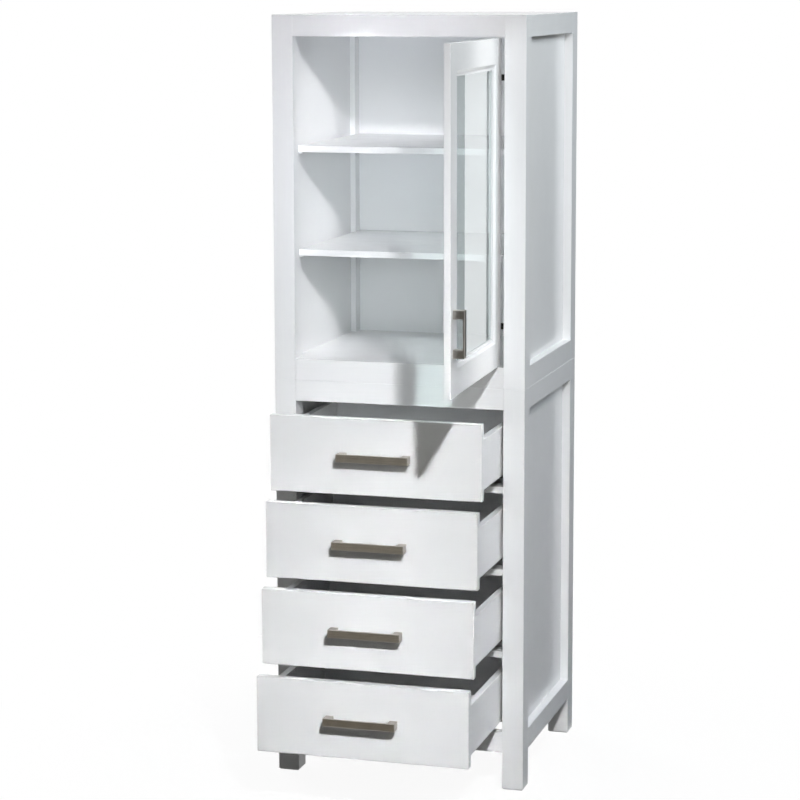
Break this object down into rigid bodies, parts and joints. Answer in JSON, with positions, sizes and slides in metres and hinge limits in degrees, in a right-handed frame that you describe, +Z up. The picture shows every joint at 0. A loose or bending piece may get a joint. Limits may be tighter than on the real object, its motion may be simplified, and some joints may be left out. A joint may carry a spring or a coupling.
{
  "type": "linen cabinet",
  "caption": "Tall free-standing linen cabinet: glazed inset door over open shelves, inset drawers on slides below, square posts that run down as legs.",
  "frame": {"origin": "middle of the rectangle of the four feet, on the floor", "axes": "+Z up, -Y out of the cabinet's front, +X to the right when facing the front"},
  "size_m": [0.61, 1.0069, 1.82],
  "materials": {
    "painted_wood": "satin white paint on wood",
    "brushed_nickel": "brushed dark nickel",
    "dark_steel": "black zinc-plated rolled steel",
    "nickel": "nickel plate",
    "clear_glass": "clear float glass with a faint green edge",
    "beech": "plain beech"
  },
  "bodies": {
    "cabinet": {"upper_post_front_left": "painted_wood", "upper_post_front_right": "painted_wood", "upper_posts_rear": "painted_wood", "leg_front_left": "painted_wood", "leg_front_right": "painted_wood", "legs_rear": "painted_wood", "upper_top_rail": "painted_wood", "upper_bottom_rail": "painted_wood", "lower_top_rail": "painted_wood", "lower_bottom_rail": "painted_wood", "rear_rails": "painted_wood", "drawer_dividers": "painted_wood", "side_rails": "painted_wood", "upper_side_panel_left": "painted_wood", "upper_side_panel_right": "painted_wood", "lower_side_panel_left": "painted_wood", "lower_side_panel_right": "painted_wood", "upper_back_panel": "painted_wood", "lower_back_panel": "painted_wood", "top_panel": "painted_wood", "floor_panel": "painted_wood", "shelves": "painted_wood", "shelf_pins": "nickel", "cabinet_slides": "dark_steel", "hinge_plates": "nickel", "hinge_arms": "nickel", "unit_dowels": "beech"},
    "door": {"door_hinge_stile": "painted_wood", "door_free_stile": "painted_wood", "door_top_rail": "painted_wood", "door_bottom_rail": "painted_wood", "door_glass": "clear_glass", "glass_beads": "painted_wood", "door_pull": "brushed_nickel", "hinge_cups": "nickel", "hinge_pins": "nickel"},
    "drawer_1": {"drawer_1_front": "painted_wood", "drawer_1_box": "painted_wood", "drawer_1_bottom": "painted_wood", "drawer_1_pull": "brushed_nickel", "drawer_1_runners": "dark_steel"},
    "drawer_1_middle": {"drawer_1_middle_slides": "dark_steel"},
    "drawer_2": {"drawer_2_front": "painted_wood", "drawer_2_box": "painted_wood", "drawer_2_bottom": "painted_wood", "drawer_2_pull": "brushed_nickel", "drawer_2_runners": "dark_steel"},
    "drawer_2_middle": {"drawer_2_middle_slides": "dark_steel"},
    "drawer_3": {"drawer_3_front": "painted_wood", "drawer_3_box": "painted_wood", "drawer_3_bottom": "painted_wood", "drawer_3_pull": "brushed_nickel", "drawer_3_runners": "dark_steel"},
    "drawer_3_middle": {"drawer_3_middle_slides": "dark_steel"},
    "drawer_4": {"drawer_4_front": "painted_wood", "drawer_4_box": "painted_wood", "drawer_4_bottom": "painted_wood", "drawer_4_pull": "brushed_nickel", "drawer_4_runners": "dark_steel"},
    "drawer_4_middle": {"drawer_4_middle_slides": "dark_steel"}
  },
  "joints": [
    {"name": "door_hinge", "type": "hinge", "parent": "cabinet", "child": "door", "pos_m": [0.2335, -0.257, 1.389], "axis": [0, 0, 1], "range_deg": [-92, 5]},
    {"name": "drawer_1_slide", "type": "slide", "parent": "cabinet", "child": "drawer_1", "axis": [0, -1, 0], "range_m": [-0.19, 0.21]},
    {"name": "drawer_1_middle_slide", "type": "slide", "parent": "cabinet", "child": "drawer_1_middle", "axis": [0, -1, 0], "range_m": [-0.095, 0.105]},
    {"name": "drawer_2_slide", "type": "slide", "parent": "cabinet", "child": "drawer_2", "axis": [0, -1, 0], "range_m": [-0.225, 0.175]},
    {"name": "drawer_2_middle_slide", "type": "slide", "parent": "cabinet", "child": "drawer_2_middle", "axis": [0, -1, 0], "range_m": [-0.1125, 0.0875]},
    {"name": "drawer_3_slide", "type": "slide", "parent": "cabinet", "child": "drawer_3", "axis": [0, -1, 0], "range_m": [-0.259, 0.141]},
    {"name": "drawer_3_middle_slide", "type": "slide", "parent": "cabinet", "child": "drawer_3_middle", "axis": [0, -1, 0], "range_m": [-0.1295, 0.0705]},
    {"name": "drawer_4_slide", "type": "slide", "parent": "cabinet", "child": "drawer_4", "axis": [0, -1, 0], "range_m": [-0.299, 0.101]},
    {"name": "drawer_4_middle_slide", "type": "slide", "parent": "cabinet", "child": "drawer_4_middle", "axis": [0, -1, 0], "range_m": [-0.1495, 0.0505]}
  ],
  "couplings": [
    {"joint": "drawer_1_middle_slide", "follows": "drawer_1_slide", "ratio": 0.5},
    {"joint": "drawer_2_middle_slide", "follows": "drawer_2_slide", "ratio": 0.5},
    {"joint": "drawer_3_middle_slide", "follows": "drawer_3_slide", "ratio": 0.5},
    {"joint": "drawer_4_middle_slide", "follows": "drawer_4_slide", "ratio": 0.5}
  ]
}
